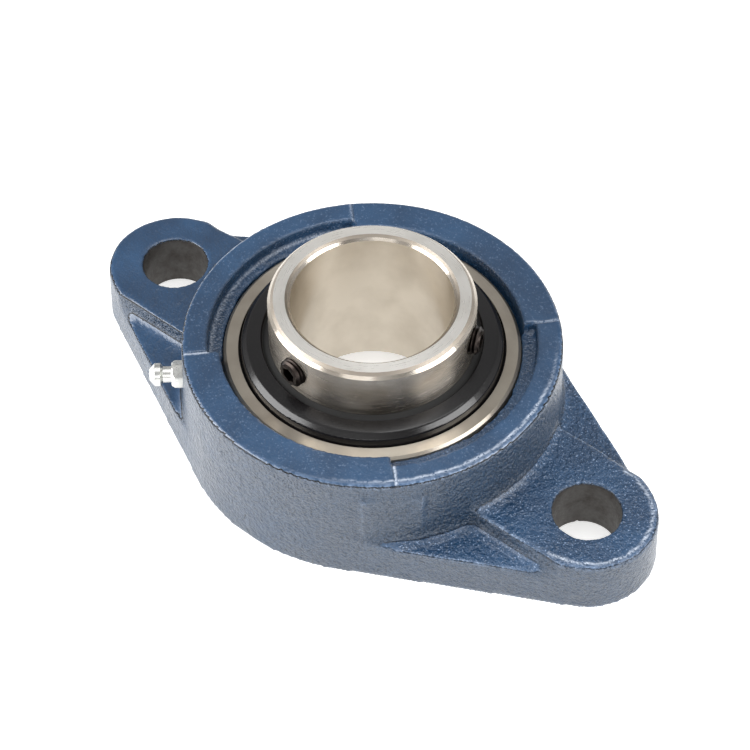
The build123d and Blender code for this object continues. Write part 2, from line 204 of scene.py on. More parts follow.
# -------------------------------------------------------------------------------- finishes
@dataclass(frozen=True)
class SprayedEnamel:
    """Alkyd enamel sprayed over a sand-cast skin: satin, pebbled, with painted highlights and a
    painted sheen.
    """

    name: str = "alkyd_enamel_sprayed_on_sand_casting"
    blue: str = "#153c5e"
    deep_blue: str = "#10314f"
    wall_sheen_grey: str = "#1c2b3b"  # painted sheen: the walls' colour greyed, standing in for the white table they reflect
    edge_highlight_blue: str = "#93a8c6"  # painted highlight along the outside edges
    # specks: partly dust, partly painted glints off the pebbled paint
    dust_and_glint_speck: str = "#7b90ae"
    # chips of paint, and the painted highlight lines along the lit rims and the reliefs
    chip_and_highlight: str = "#b9c3d2"
    roughness: float = 0.34
    cloud: float = 14.0  # width of the soft clouds in the colour
    pebble: float = 1.25  # width of the sand's pebbles under the paint
    grain: float = 0.55  # spray grain, which is finer and drawn as coarse as it needs to show
    pebble_height: float = 0.8
    grain_height: float = 0.24
    specular: float = 0.65
    coat: float = 0.3
    coat_roughness: float = 0.25

    def material(self) -> bpy.types.Material:
        """Builds the paint, with its pebbled skin, specks of dust and painted glints, a painted
        sheen on the walls, painted highlights on the edges and chips.
        """
        material, tree, shader = new_material(self.name)
        place = add_node(tree, "TexCoord").outputs["Object"]
        skin, edge, specks, chips_and_highlights, wall = (
            add_node(tree, "Attribute", attribute_name=name).outputs["Fac"]
            for name in ("skin", "edge", "specks", "chips_and_highlights", "wall")
        )
        clouds = texture(tree, place, self.cloud, 3.0)
        pebbles = texture(tree, place, self.pebble, 2.0)
        grains = texture(tree, place, self.grain, 1.0)

        # two close blues in soft clouds, then the walls' painted sheen, painted edge highlights,
        # specks of dust and painted glints, and chips with painted highlight lines
        body = blend(tree, stretch(tree, clouds, 0.35, 0.65), self.deep_blue, self.blue)
        # painted sheen on the walls: their colour is greyed as far as the wall share goes
        with_wall_sheen = blend(tree, wall, body, self.wall_sheen_grey)
        # painted highlight along the outside edges, broken up by the pebbles
        edge_highlight = product(tree, edge, stretch(tree, pebbles, 0.38, 0.62))
        with_edge_highlight = blend(tree, edge_highlight, with_wall_sheen, self.edge_highlight_blue)
        # specks of dust and painted glints
        dots = product(tree, stretch(tree, grains, 0.62, 0.74), specks)
        specked = blend(tree, dots, with_edge_highlight, self.dust_and_glint_speck)
        # chips of paint, with painted highlight lines in the same layer
        chip_and_highlight_share = product(tree, stretch(tree, grains, 0.36, 0.44), chips_and_highlights)
        colour = blend(tree, chip_and_highlight_share, specked, self.chip_and_highlight)
        gloss = stretch(tree, clouds, 0.3, 0.7, self.roughness - 0.06, self.roughness + 0.08)

        pebbled = add_node(
            tree,
            "Bump",
            {
                "Height": product(tree, pebbles, skin),
                "Distance": self.pebble_height * MM,
                "Strength": 1.0,
            },
        )
        grained = add_node(
            tree,
            "Bump",
            {
                "Height": product(tree, grains, skin),
                "Distance": self.grain_height * MM,
                "Normal": pebbled.outputs[0],
                "Strength": 1.0,
            },
        )
        tree.links.new(colour, shader.inputs["Base Color"])
        tree.links.new(gloss, shader.inputs["Roughness"])
        tree.links.new(grained.outputs[0], shader.inputs["Normal"])
        shader.inputs["Specular IOR Level"].default_value = self.specular
        shader.inputs["Coat Weight"].default_value = self.coat
        shader.inputs["Coat Roughness"].default_value = self.coat_roughness
        return material


@dataclass(frozen=True)
class Steel:
    """A bare or plated steel, with fine lines or grain from how it was made, and soft stains."""

    name: str
    colour: str
    stain: str
    roughness: float
    line: float = 0.35  # spacing of the finest lines that show
    line_height: float = 0.002
    lay: Lay = Lay.NONE
    anisotropy: float = 0.0
    streaks: float = 0.1  # how much the lines change the roughness
    stain_width: float = 9.0
    metallic: float = 1.0
    line_length: float = 1.2  # how fast the lines change round the axis, which is hardly at all
    across: float = 0.25  # quarter turn of the sheen, so that it spreads across the lines

    def material(self) -> bpy.types.Material:
        """Builds the steel, with its lines, stains and roughness."""
        material, tree, shader = new_material(self.name)
        place = add_node(tree, "TexCoord").outputs["Object"]
        lines = texture(tree, self.lines_at(tree, place), self.line, 3.0)
        stains = texture(tree, place, self.stain_width, 5.0)
        stained = stretch(tree, stains, 0.42, 0.75, to_high=0.8)
        colour = blend(tree, stained, self.colour, self.stain)
        smoothest = self.roughness - self.streaks / 2
        rough = stretch(tree, lines, 0.3, 0.7, smoothest, smoothest + self.streaks)
        bump = add_node(
            tree,
            "Bump",
            {"Height": lines, "Distance": self.line_height * MM, "Strength": 1.0},
        )
        tree.links.new(colour, shader.inputs["Base Color"])
        tree.links.new(rough, shader.inputs["Roughness"])
        tree.links.new(bump.outputs[0], shader.inputs["Normal"])
        shader.inputs["Metallic"].default_value = self.metallic
        if self.anisotropy:
            shader.inputs["Anisotropic"].default_value = self.anisotropy
            shader.inputs["Anisotropic Rotation"].default_value = self.across
            tangent = add_node(tree, "Tangent", direction_type="RADIAL", axis="Z")
            tree.links.new(tangent.outputs[0], shader.inputs["Tangent"])
        return material

    def lines_at(
        self, tree: bpy.types.NodeTree, place: bpy.types.NodeSocket
    ) -> bpy.types.NodeSocket:
        """Where the fine lines are read: by radius and height if they run round the axis."""
        if self.lay is Lay.NONE:
            return place
        parts = add_node(tree, "SeparateXYZ", {0: place})
        flat = add_node(tree, "CombineXYZ", {0: parts.outputs[0], 1: parts.outputs[1]})
        radius = add_node(tree, "VectorMath", {0: flat.outputs[0]}, operation="LENGTH")
        angle = {0: parts.outputs[1], 1: parts.outputs[0]}
        turn = add_node(tree, "Math", angle, operation="ARCTAN2")
        slow = product(tree, turn.outputs[0], self.line_length * MM)
        ring = {0: radius.outputs["Value"], 1: parts.outputs[2], 2: slow}
        return add_node(tree, "CombineXYZ", ring).outputs[0]


@dataclass(frozen=True)
class Coating:
    """A dark coating or a rubber, with a fine grain that breaks its sheen."""

    name: str
    colour: str
    dust: str
    roughness: float
    grain: float = 0.5
    grain_height: float = 0.01
    dust_width: float = 11.0
    dust_share: float = 0.25
    specular: float = 0.5

    def material(self) -> bpy.types.Material:
        """Builds the coating, with its grain and a thin film of dust."""
        material, tree, shader = new_material(self.name)
        place = add_node(tree, "TexCoord").outputs["Object"]
        grain = texture(tree, place, self.grain, 2.0)
        film = texture(tree, place, self.dust_width, 4.0)
        share = stretch(tree, film, 0.4, 0.75, to_high=self.dust_share)
        colour = blend(tree, share, self.colour, self.dust)
        rough = stretch(tree, grain, 0.3, 0.7, self.roughness - 0.05, self.roughness + 0.07)
        bump = add_node(
            tree,
            "Bump",
            {"Height": grain, "Distance": self.grain_height * MM, "Strength": 1.0},
        )
        tree.links.new(colour, shader.inputs["Base Color"])
        tree.links.new(rough, shader.inputs["Roughness"])
        tree.links.new(bump.outputs[0], shader.inputs["Normal"])
        shader.inputs["Specular IOR Level"].default_value = self.specular
        return material


# -------------------------------------------------------------------------------- housing
@dataclass
class CastHousing:
    """The painted casting: the CAD housing's shape with a cast skin, soft edges and core joints."""

    hub_radius: float = 54.0  # at the back face
    hub_height: float = 36.0
    lean: float = tan(radians(2))  # the walls' draft, as a share of the height
    pad_height: float = 17.0
    half_bolts: float = 74.0
    hole_radius: float = 9.5
    seat_radius: float = 42.55
    seat_half_width: float = 8.5
    centre_height: float = 22.0
    opening_radius: float = 42.34
    relief_radius: float = 45.64
    relief_floor: float = 32.5
    joint_angle: float = 45.0  # core joints, at the ends of the reliefs
    voxel: float = 0.6
    edge_passes: int = 3
    wall_swell: float = 0.09  # height of the slow waves in the cast walls
    swell_width: float = 4.2
    pebble_swell: float = 0.05
    pebble_width: float = 1.7
    lit_side: float = -15.0  # direction of the lit side, where the painted edge highlights are strongest
    lobe_radius: float = 20.0
    rim_highlight_inset: float = 1.7  # rim to the painted highlight line
    pad_end: tuple[float, float] = (74.0, 20.0)  # where a pad's side meets the outline
    pad_end_width: float = 5.0
    pad_end_passes: int = 30
    pad_end_floor: float = 8.0  # below this height the outline is left as it is
    weld: float = 0.002  # points of the CAD mesh that are this close are one
    bored: float = 0.45  # the skin lies this close to a bored surface that it belongs to
    faced: float = 0.35  # and this close to the faced back
    joint_band: float = 1.3  # half the width of the skin that is refined along a core joint
    groove_width: float = 0.22
    groove_depth: float = 0.3
    ridge_height: float = 0.14
    rim_highlight_width: float = 0.32

    def build(self, node: bpy.types.Object) -> bpy.types.Object:
        """Builds and dresses the casting.

        Args:
            node: the CAD node of the housing.

        Returns:
            The new piece, riding on the housing body.
        """
        piece = self.even_skin(node)
        points, edges = self.read(piece.data)
        points = self.relax(points, edges, self.edge_passes)
        points = self.ease_pad_ends(points, edges)
        outward = self.normals(piece.data, points)
        edge = self.edge_share(points, outward, edges)
        regions = self.regions(points, outward)
        machined = self.machined(points)
        points = self.roughen(points, outward, regions, machined)
        points = self.close_relief(self.bore(points))
        self.store(piece.data, points, edge, regions, machined)
        self.core_joints(piece.data)
        self.dress(piece.data)
        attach(piece, "housing")
        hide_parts("housing")
        return piece

    def even_skin(self, node: bpy.types.Object) -> bpy.types.Object:
        """Copies the CAD mesh and gives it an even skin, fine enough to carry a cast surface."""
        mesh = node.data.copy()
        work = bmesh.new()
        work.from_mesh(mesh)
        bmesh.ops.remove_doubles(work, verts=work.verts, dist=self.weld * MM)
        work.to_mesh(mesh)
        work.free()
        piece = bpy.data.objects.new("housing_casting", mesh)
        bpy.context.scene.collection.objects.link(piece)
        skin = piece.modifiers.new("even_skin", "REMESH")
        skin.mode = "VOXEL"
        skin.voxel_size = self.voxel * MM
        skin.adaptivity = 0.0
        shaped = piece.evaluated_get(bpy.context.evaluated_depsgraph_get())
        even = bpy.data.meshes.new_from_object(shaped)
        piece.modifiers.clear()
        piece.data = even
        bpy.data.meshes.remove(mesh)
        return piece

    def read(self, mesh: bpy.types.Mesh) -> tuple[np.ndarray, np.ndarray]:
        """Reads a mesh's points, in millimetres, and its edges."""
        points = np.empty(len(mesh.vertices) * 3, np.float32)
        mesh.vertices.foreach_get("co", points)
        edges = np.empty(len(mesh.edges) * 2, np.int32)
        mesh.edges.foreach_get("vertices", edges)
        return points.reshape(-1, 3).astype(float) / MM, edges.reshape(-1, 2)

    def write(self, mesh: bpy.types.Mesh, points: np.ndarray) -> None:
        """Writes points, in millimetres, to a mesh."""
        mesh.vertices.foreach_set("co", (points * MM).astype(np.float32).ravel())
        mesh.update()

    def neighbours(self, points: np.ndarray, edges: np.ndarray) -> np.ndarray:
        """The mean of each point's neighbours."""
        count = np.bincount(edges.ravel(), minlength=len(points))
        total = np.empty_like(points)
        for axis in range(points.shape[1]):
            near = np.bincount(edges[:, 0], points[edges[:, 1], axis], len(points))
            total[:, axis] = near + np.bincount(edges[:, 1], points[edges[:, 0], axis], len(points))
        return total / np.maximum(count, 1)[:, None]

    def relax(self, points: np.ndarray, edges: np.ndarray, passes: int) -> np.ndarray:
        """Rounds the edges as a sand mould does, by moving each point towards its neighbours."""
        for _ in range(passes):
            points = points + 0.5 * (self.neighbours(points, edges) - points)
        return points

    def ease_pad_ends(self, points: np.ndarray, edges: np.ndarray) -> np.ndarray:
        """Runs each pad's side out softly where it meets the flange's outline."""
        from_end = np.abs(points[:, :2]) - self.pad_end
        away = np.hypot(from_end[:, 0], from_end[:, 1])
        upper = points[:, 2] > self.pad_end_floor
        share = 0.5 * np.exp(-((away / self.pad_end_width) ** 2)) * upper
        picked = np.flatnonzero(share > 0.01)
        for _ in range(self.pad_end_passes):
            middle = self.neighbours(points, edges)
            points[picked] += share[picked, None] * (middle[picked] - points[picked])
        return points

    def normals(self, mesh: bpy.types.Mesh, points: np.ndarray) -> np.ndarray:
        """Writes the points to the mesh and reads the outward normal of each."""
        self.write(mesh, points)
        outward = np.empty(len(points) * 3, np.float32)
        mesh.vertex_normals.foreach_get("vector", outward)
        return outward.reshape(-1, 3).astype(float)

    def edge_share(
        self, points: np.ndarray, outward: np.ndarray, edges: np.ndarray
    ) -> np.ndarray:
        """How much each point stands on an outside edge, from 0 to 1."""
        bend = -np.einsum("ij,ij->i", self.neighbours(points, edges) - points, outward)
        share = np.clip((bend - 0.02) / 0.07, 0, 1)[:, None]
        return (0.5 * share + 0.5 * self.neighbours(share, edges))[:, 0]

    def regions(self, points: np.ndarray, outward: np.ndarray) -> dict[Region, np.ndarray]:
        """Sorts the points by region.

        Args:
            points: the skin's points, in millimetres.
            outward: their normals.

        Returns:
            For each region, whether each point is in it.
        """
        radius = np.hypot(points[:, 0], points[:, 1])
        level = outward[:, 2] > 0.6
        front = level & (points[:, 2] > self.hub_height - 1.6)
        relief = ~front & (radius < self.relief_radius + 0.5)
        pad = level & ~front & ~relief
        return {
            Region.FRONT_FACE: front,
            Region.RELIEF: relief,
            Region.PAD: pad,
            Region.WALL: ~(front | relief | pad),
        }

    def machined(self, points: np.ndarray) -> np.ndarray:
        """Which points lie on surfaces that are bored or faced after casting."""
        on_hole = np.abs(self.from_bolt(points) - self.hole_radius) < self.bored
        in_hole = on_hole & (points[:, 2] < self.pad_height - 0.5)
        centre = points - (0, 0, self.centre_height)
        on_seat = np.abs(np.linalg.norm(centre, axis=1) - self.seat_radius) < self.bored
        in_seat = on_seat & (np.abs(centre[:, 2]) < self.seat_half_width - 0.3)
        return in_hole | in_seat | (points[:, 2] < self.faced)

    def from_bolt(self, points: np.ndarray) -> np.ndarray:
        """How far each point stands from the nearer bolt hole's axis."""
        return np.hypot(np.abs(points[:, 0]) - self.half_bolts, points[:, 1])

    def roughen(
        self,
        points: np.ndarray,
        outward: np.ndarray,
        regions: dict[Region, np.ndarray],
        machined: np.ndarray,
    ) -> np.ndarray:
        """Moves the skin in and out as sand casting leaves it: slow waves with pebbles on them."""
        share = np.where(regions[Region.FRONT_FACE], 0.15, 1.0)
        share = np.where(regions[Region.RELIEF], 0.5, share)
        share[machined] = 0.0
        from_centre = np.linalg.norm(points - (0, 0, self.centre_height), axis=1)
        near_seat = from_centre < self.seat_radius + 1.5
        share[near_seat & ~regions[Region.FRONT_FACE]] *= 0.2
        rough = np.zeros(len(points))
        elsewhere = Vector((31, 17, 5))  # so that the pebbles don't line up with the waves
        for i in np.flatnonzero(share):
            spot = Vector(points[i])
            rough[i] = self.wall_swell * noise.noise(spot / self.swell_width)
            rough[i] += self.pebble_swell * noise.noise(spot / self.pebble_width + elsewhere)
        return points + outward * (rough * share)[:, None]

    def bore(self, points: np.ndarray) -> np.ndarray:
        """Brings the bolt holes, the ball seat and the faced back to their true shape."""
        points = points.copy()
        side = np.sign(points[:, 0])
        across = np.stack([points[:, 0] - side * self.half_bolts, points[:, 1]], 1)
        hole = np.linalg.norm(across, axis=1)
        on_hole = np.abs(hole - self.hole_radius) < self.bored
        near = on_hole & (points[:, 2] < self.pad_height - 0.8)
        across[near] *= (self.hole_radius / hole[near])[:, None]
        points[near, 0] = side[near] * self.half_bolts + across[near, 0]
        points[near, 1] = across[near, 1]

        centre = points - (0, 0, self.centre_height)
        from_centre = np.linalg.norm(centre, axis=1)
        seat = np.abs(from_centre - self.seat_radius) < self.bored
        seat &= np.abs(centre[:, 2]) < self.seat_half_width
        centre[seat] *= (self.seat_radius / from_centre[seat])[:, None]
        points[seat] = centre[seat] + (0, 0, self.centre_height)
        inside = (from_centre < self.seat_radius) & ~seat
        centre[inside] *= (self.seat_radius / np.maximum(from_centre[inside], 1))[:, None]
        points[inside] = centre[inside] + (0, 0, self.centre_height)

        points[points[:, 2] < self.faced, 2] = 0.0
        return points

    def close_relief(self, points: np.ndarray) -> np.ndarray:
        """Brings each relief's floor in to the insert, just clear of the ball that it tilts in."""
        radius = np.hypot(points[:, 0], points[:, 1])
        from_side = np.degrees(np.arctan2(np.abs(points[:, 1]), np.abs(points[:, 0])))
        outer = self.relief_radius - 1.2
        share = np.clip((outer - radius) / (outer - self.opening_radius), 0, 1)
        share *= np.clip((self.joint_angle - from_side) / 1.5, 0, 1)
        rise = points[:, 2] - self.centre_height
        beside = (rise < self.seat_half_width + 0.3) | (points[:, 2] > self.relief_floor + 0.4)
        share[beside] = 0.0
        ball = np.sqrt(np.maximum(self.seat_radius**2 - rise**2, 0.0)) + 0.15
        moved = radius - share * np.maximum(self.opening_radius - ball, 0.0)
        points = points.copy()
        points[:, :2] *= (moved / np.maximum(radius, 1.0))[:, None]
        return points

    def store(
        self,
        mesh: bpy.types.Mesh,
        points: np.ndarray,
        edge: np.ndarray,
        regions: dict[Region, np.ndarray],
        machined: np.ndarray,
    ) -> None:
        """Writes the points and what the paint needs to know about each of them."""
        self.write(mesh, points)
        # the sand was coarser on the +X side: its pad is rough and takes more specks, partly dust
        # and partly painted glints; the other is smooth
        coarse = np.clip(0.5 + points[:, 0] / 40, 0, 1)
        skin = np.where(regions[Region.WALL], 2.2, 0.3 + 0.9 * coarse)
        skin = np.where(regions[Region.RELIEF], 0.8, skin)
        skin = np.where(regions[Region.FRONT_FACE], 0.22, skin)
        # how many specks show: partly dust, partly painted glints
        specks = np.where(regions[Region.PAD], 0.1 + 0.9 * coarse, 0.12)
        specks = np.where(regions[Region.RELIEF], 0.6, specks)
        specks = np.where(regions[Region.FRONT_FACE], 0.3, specks)
        # how much of the painted sheen each point takes: the walls' colour is greyed, standing in
        # for the white table they reflect
        wall = np.where(regions[Region.WALL], 0.65, 0.0)
        values = {
            "skin": skin,
            # edge: how much painted highlight each outside edge takes, most on the lit side
            "edge": edge * self.edge_highlight_strength(points),
            "specks": specks,
            "wall": wall,
            "bare": machined.astype(float),
        }
        for name, value in values.items():
            layer = mesh.attributes.new(name, "FLOAT", "POINT")
            layer.data.foreach_set("value", value.astype(np.float32))

    def edge_highlight_strength(self, points: np.ndarray) -> np.ndarray:
        """How strong the painted highlight along the edges is: strongest on the lit side."""
        radius = np.hypot(points[:, 0], points[:, 1])
        inner = (radius < self.relief_radius + 1.5) & (points[:, 2] > self.relief_floor - 1)
        hole = self.from_bolt(points) < self.hole_radius + 1.5
        return np.where(inner | hole, 0.12, 0.22 + 0.8 * self.lit_side_share(points) ** 3)

    def lit_side_share(self, points: np.ndarray) -> np.ndarray:
        """How near each point's direction from the axis is to the lit side, from 0 to 1."""
        turn = np.arctan2(points[:, 1], points[:, 0])
        return 0.5 + 0.5 * np.cos(turn - np.radians(self.lit_side))

    def rim_highlight(self, points: np.ndarray) -> np.ndarray:
        """A ragged painted highlight along the rims on the lit side, where the light catches them.
        """
        wobble = np.array([noise.noise(Vector(p) / 1.6) for p in points])
        hub_rim = self.hub_radius - self.lean * self.hub_height - self.rim_highlight_inset
        from_hub = np.hypot(points[:, 0], points[:, 1]) - hub_rim
        lobe_rim = self.lobe_radius - self.lean * self.pad_height - self.rim_highlight_inset
        from_lobe = self.from_bolt(points) - lobe_rim
        on_hub = points[:, 2] > self.hub_height - 1.2
        on_pad = np.abs(points[:, 2] - self.pad_height) < 1.0
        on_lobe = on_pad & (np.abs(points[:, 0]) > self.half_bolts)
        away = np.where(on_hub, from_hub, np.where(on_lobe, from_lobe, 9.0)) + 0.35 * wobble
        share = np.clip(2.2 * self.lit_side_share(points) ** 4 - 0.9, 0, 1)
        return share * np.exp(-((away / self.rim_highlight_width) ** 2)) * (0.8 + 0.4 * wobble)

    def core_joints(self, mesh: bpy.types.Mesh) -> None:
        """Adds the fine ridge and groove that the sand cores leave across the front face."""
        points, _ = self.read(mesh)
        along, aside = self.joint_place(points)
        rim = self.hub_radius - self.lean * self.hub_height
        near = self.on_front(points, along) & (np.abs(aside) < self.joint_band)
        work = bmesh.new()
        work.from_mesh(mesh)
        work.verts.ensure_lookup_table()
        picked = [e for e in work.edges if near[e.verts[0].index] and near[e.verts[1].index]]
        bmesh.ops.subdivide_edges(work, edges=picked, cuts=2, use_grid_fill=True)
        work.to_mesh(mesh)
        work.free()
        points, _ = self.read(mesh)
        along, aside = self.joint_place(points)
        on_face = self.on_front(points, along)
        wobble = np.array([noise.noise(Vector(p) / 2.5) for p in points[on_face]])
        offset = aside[on_face] + 0.25 * wobble
        ends = np.clip((rim - along[on_face]) / 1.5, 0, 1)
        groove = -self.groove_depth * np.exp(-((offset / self.groove_width) ** 2))
        ridge = self.ridge_height * np.exp(-(((offset - 0.5) / self.groove_width) ** 2))
        points[on_face, 2] += (groove + ridge) * ends
        self.write(mesh, points)
        chips_and_highlights = np.zeros(len(points))
        # light band beside each core joint's ridge: chipped paint, partly a painted highlight along
        # the ridge
        chips_and_highlights[on_face] = np.exp(-(((offset - 0.4) / 0.4) ** 2))
        chips_and_highlights[on_face] *= np.where(points[on_face, 1] < 0, 0.75, 0.3)
        # painted highlights along the reliefs' corners and the lit rims go into the same layer as
        # the chips
        chips_and_highlights = np.maximum(chips_and_highlights, self.relief_highlight(points))
        chips_and_highlights = np.maximum(chips_and_highlights, self.rim_highlight(points))
        layer = mesh.attributes.new("chips_and_highlights", "FLOAT", "POINT")
        layer.data.foreach_set("value", chips_and_highlights.astype(np.float32))

    def on_front(self, points: np.ndarray, along: np.ndarray) -> np.ndarray:
        """Which points lie on the front face, at or beyond the reliefs' outer wall."""
        return (points[:, 2] > self.hub_height - 0.7) & (along > self.relief_radius - 0.6)

    def relief_highlight(self, points: np.ndarray) -> np.ndarray:
        """A band of painted highlight along the corner of each relief, most of it on the -X side.
        """
        radius = np.hypot(points[:, 0], points[:, 1])
        rise = points[:, 2] - self.relief_floor
        band = np.exp(-(((radius - self.relief_radius + 0.9) / 0.35) ** 2))
        return band * ((rise > -0.6) & (rise < 1.2)) * np.where(points[:, 0] < 0, 0.4, 0.05)

    def joint_place(self, points: np.ndarray) -> tuple[np.ndarray, np.ndarray]:
        """How far each point lies along and beside the nearest core joint, in millimetres."""
        turn = np.arctan2(points[:, 1], points[:, 0])
        first, step = np.radians(self.joint_angle), np.pi / 2
        nearest = first + np.round((turn - first) / step) * step
        radius = np.hypot(points[:, 0], points[:, 1])
        return radius * np.cos(turn - nearest), radius * np.sin(turn - nearest)

    def dress(self, mesh: bpy.types.Mesh) -> None:
        """Gives the casting its paint, and bare iron where it was bored or faced."""
        mesh.materials.clear()
        mesh.materials.append(SprayedEnamel().material())
        mesh.materials.append(BORED_IRON.material())
        bare = np.empty(len(mesh.vertices), np.float32)
        mesh.attributes["bare"].data.foreach_get("value", bare)
        slots = np.zeros(len(mesh.polygons), np.int32)
        for face in mesh.polygons:
            if min(bare[v] for v in face.vertices) > 0.5:
                slots[face.index] = 1
        mesh.polygons.foreach_set("material_index", slots)
        mesh.polygons.foreach_set("use_smooth", np.ones(len(slots), bool))
        mesh.update()


# -------------------------------------------------------------------------------- insert
# grey cast iron, drilled and bored: dull, a little brown from its thin oxide
BORED_IRON = Steel(
    name="grey_iron_bored",
    colour="#5a5856",
    stain="#3d3632",
    roughness=0.5,
    line=0.8,
    line_height=0.05,
    streaks=0.2,
    stain_width=4.0,
    metallic=0.7,
)
# chromium bearing steel, ground: warm satin with fine lines round the axis
GROUND_STEEL = Steel(
    name="bearing_steel_ground",
    colour="#c9c1b6",
    stain="#a99e8f",
    roughness=0.25,
    line=0.3,
    line_height=0.0002,
    lay=Lay.ROUND_THE_AXIS,
    anisotropy=0.86,
    streaks=0.05,
)
# the same steel, face ground: flat, its colour whiter than the rest of the ring's, a painted
# highlight for the light that the end face catches
FACE_GROUND_STEEL = Steel(
    name="bearing_steel_face_ground",
    colour="#f2efe9",
    stain="#dedad2",
    roughness=0.3,
    line=0.3,
    line_height=0.001,
    lay=Lay.ROUND_THE_AXIS,
    anisotropy=0.3,
    streaks=0.08,
)
# the same steel in the outer ring: its face is ground too, its colour a little darker: painted
# shade, as it sits behind the seal
OUTER_GROUND_STEEL = Steel(
    name="bearing_steel_outer_ring_ground",
    colour="#bdb5a8",
    stain="#a59b8e",
    roughness=0.33,
    line=0.25,
    line_height=0.0003,
    lay=Lay.ROUND_THE_AXIS,
    anisotropy=0.8,
    streaks=0.05,
)
# the same steel, chamfered on a lathe and tumbled: soft and dull beside the ground faces, its
# colour darker as a painted shade that tones down the lamps' highlights
CHAMFERED_STEEL = Steel(
    name="bearing_steel_chamfered",
    colour="#948c82",
    stain="#7c756b",
    roughness=0.5,
    line=0.4,
    line_height=0.001,
    streaks=0.1,
)
# the same steel, honed in the bore: even and satin, a little darker than the end face but lighter
# than the ring's outside: a painted reflection of the bright table
HONED_STEEL = Steel(
    name="bearing_steel_honed",
    colour="#d8d0c3",
    stain="#bdb4a6",
    roughness=0.3,
    line=0.25,
    line_height=0.0003,
    lay=Lay.ROUND_THE_AXIS,
    anisotropy=0.9,
    streaks=0.05,
    stain_width=14.0,
)
# chromium bearing steel, lapped: bright and almost a mirror
LAPPED_STEEL = Steel(
    name="bearing_steel_lapped",
    colour="#dcdad6",
    stain="#cfccc6",
    roughness=0.08,
    line=0.5,
    streaks=0.04,
)
# the same steel in the nipple's small check ball, lapped less finely
SMALL_LAPPED_STEEL = Steel(
    name="bearing_steel_lapped_small",
    colour="#d5d3cf",
    stain="#bdb9b2",
    roughness=0.1,
    line=0.3,
    streaks=0.04,
)
# low-carbon steel strip, pressed and tumbled: plain grey with soft dull marks
PRESSED_STEEL = Steel(
    name="steel_strip_pressed",
    colour="#b5b2ad",
    stain="#918c84",
    roughness=0.34,
    line=0.6,
    streaks=0.12,
)
# carbon steel, zinc plated over turned surfaces: bright and cool
ZINC_PLATE = Steel(
    name="steel_turned_zinc_plated",
    colour="#d2d2ce",
    stain="#b4b6b6",
    roughness=0.3,
    line=0.5,
    line_height=0.003,
    streaks=0.1,
    stain_width=2.5,
)
# spring steel wire, drawn: grey with a dull sheen
DRAWN_WIRE = Steel(
    name="spring_steel_drawn", colour="#a9a8a5", stain="#7f7c77", roughness=0.3, line=0.4
)
# alloy steel, black oxide: dark, oily brown-black with a metal sheen
BLACK_OXIDE = Steel(
    name="alloy_steel_black_oxide",
    colour="#3a3431",
    stain="#241f1d",
    roughness=0.34,
    line=0.4,
    line_height=0.004,
    stain_width=2.0,
)
# pressed steel sheet, black coated: satin black with a soft highlight along its bends
COATED_SHEET = Coating(
    name="steel_sheet_pressed_black_coated",
    colour="#0c0b0c",
    dust="#1b191b",
    roughness=0.2,
    grain=0.35,
    grain_height=0.001,
)
# nitrile rubber, moulded: duller black than the coated sheet beside it
NITRILE = Coating(
    name="nitrile_rubber_moulded",
    colour="#0b0b0b",
    dust="#1a191b",
    roughness=0.5,
    grain=0.4,
    grain_height=0.012,
    specular=0.35,
)


@dataclass
class BearingInsert:
    """The insert bearing in the housing, with its rings, balls, cage, seals and set screws."""

    ball_count: int = 10
    bore_radius: float = 22.5
    front_end: float = 52.2  # back face of the housing to the inner ring's front end
    near: float = 0.05  # a corner this close to a surface lies on it

    def dress(self) -> None:
        """Gives each carried-over CAD part of the insert its finish."""
        balls = [f"ball_{number:02d}" for number in range(1, self.ball_count + 1)]
        finishes = {
            GROUND_STEEL: ["inner_ring"],
            OUTER_GROUND_STEEL: ["outer_ring"],
            LAPPED_STEEL: balls,
            PRESSED_STEEL: ["cage_front_half", "cage_rear_half", "cage_rivets"],
            COATED_SHEET: ["front_seal_shield", "rear_seal_shield"],
            NITRILE: ["front_seal_lip", "rear_seal_lip"],
            BLACK_OXIDE: ["set_screw_1", "set_screw_2"],
        }
        for finish, names in finishes.items():
            dress_nodes(finish, names)
        self.dress_ring_faces(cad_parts["inner_ring"].data)

    def dress_ring_faces(self, mesh: bpy.types.Mesh) -> None:
        """Gives the inner ring's front end, bore and front chamfers finishes of their own."""
        end_place = len(mesh.materials)
        bore_place, chamfer_place = end_place + 1, end_place + 2
        for finish in (FACE_GROUND_STEEL, HONED_STEEL, CHAMFERED_STEEL):
            mesh.materials.append(finish.material())
        for face in mesh.polygons:
            corners = [mesh.vertices[v].co / MM for v in face.vertices]
            if min(point.z for point in corners) > self.front_end - self.near:
                face.material_index = end_place
            elif max(point.xy.length for point in corners) < self.bore_radius + self.near:
                face.material_index = bore_place
            elif max(point.z for point in corners) > self.front_end - self.near:
                face.material_index = chamfer_place


@dataclass
class GreaseNipple:
    """The grease nipple screwed into the side of the hub, with its check ball and spring."""

    turn: float = 220.0  # degrees from +X to the way the nipple points
    ball_travel: float = 0.8

    def build(self, spring: bpy.types.Object) -> bpy.types.Object:
        """Dresses the nipple and gives it its own copy of the spring, riding on the housing body.

        Args:
            spring: the CAD node of the spring.

        Returns:
            The new spring, riding on the housing body.
        """
        self.dress()
        piece = bpy.data.objects.new("nipple_return_spring", spring.data.copy())
        bpy.context.scene.collection.objects.link(piece)
        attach(piece, "housing")
        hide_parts("nipple_spring")
        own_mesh(piece)
        return piece

    def dress(self) -> None:
        """Gives the nipple's CAD parts their finishes."""
        dress_nodes(ZINC_PLATE, ["nipple_body"])
        dress_nodes(SMALL_LAPPED_STEEL, ["nipple_check_ball"])
        dress_nodes(DRAWN_WIRE, ["nipple_spring"])


def dress_nodes(finish: Steel | Coating, names: list[str]) -> None:
    """Puts one finish on CAD nodes.

    Args:
        finish: the finish to build.
        names: the nodes that take it.
    """
    material = finish.material()
    for name in names:
        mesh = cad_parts[name].data
        for place in range(len(mesh.materials)):
            mesh.materials[place] = material
        log.info("%s: %s", name, finish.name)


